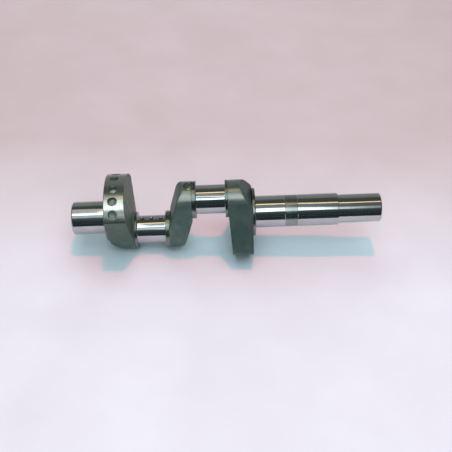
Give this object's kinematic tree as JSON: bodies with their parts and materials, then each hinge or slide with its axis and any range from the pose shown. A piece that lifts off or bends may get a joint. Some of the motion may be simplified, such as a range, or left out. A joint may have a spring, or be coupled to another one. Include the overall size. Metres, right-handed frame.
{
  "type": "crankshaft",
  "caption": "Two-throw cast crankshaft with opposed crankpins, counterweighted end webs, an oblique centre web, ground journals and a stepped drive-end stub.",
  "frame": {"origin": "on the shaft axis, halfway between the front end face and the drive end face, which is also the centre of the bounding box", "axes": "+X along the shaft axis towards the drive end, +Z from the shaft axis towards crankpin 2 (crankpin 1 is at -Z), +Y completes the right-handed frame"},
  "size_m": [0.4144, 0.0984, 0.116],
  "materials": {
    "ground_steel": "ground and polished, bright",
    "turned_steel": "fine turned, satin",
    "dull_band": "turned, unground, dull satin",
    "cast_web": "as cast, oiled, with machined noses and rim",
    "gallery_plug": "pressed steel, dull"
  },
  "bodies": {
    "root": {"front_journal": "ground_steel", "front_thrust_collar": "turned_steel", "front_web": "cast_web", "front_counterweight": "cast_web", "front_web_plug": "gallery_plug", "pin_1_front_collar": "turned_steel", "crankpin_1": "ground_steel", "pin_1_rear_collar": "turned_steel", "centre_web": "cast_web", "centre_web_plug": "gallery_plug", "pin_2_front_collar": "turned_steel", "crankpin_2": "ground_steel", "pin_2_rear_collar": "turned_steel", "rear_web": "cast_web", "rear_counterweight": "cast_web", "rear_thrust_collar": "turned_steel", "main_journal": "ground_steel", "relief_band": "dull_band", "seal_journal": "ground_steel", "drive_shoulder": "turned_steel", "drive_end_stub": "ground_steel"}
  },
  "joints": []
}
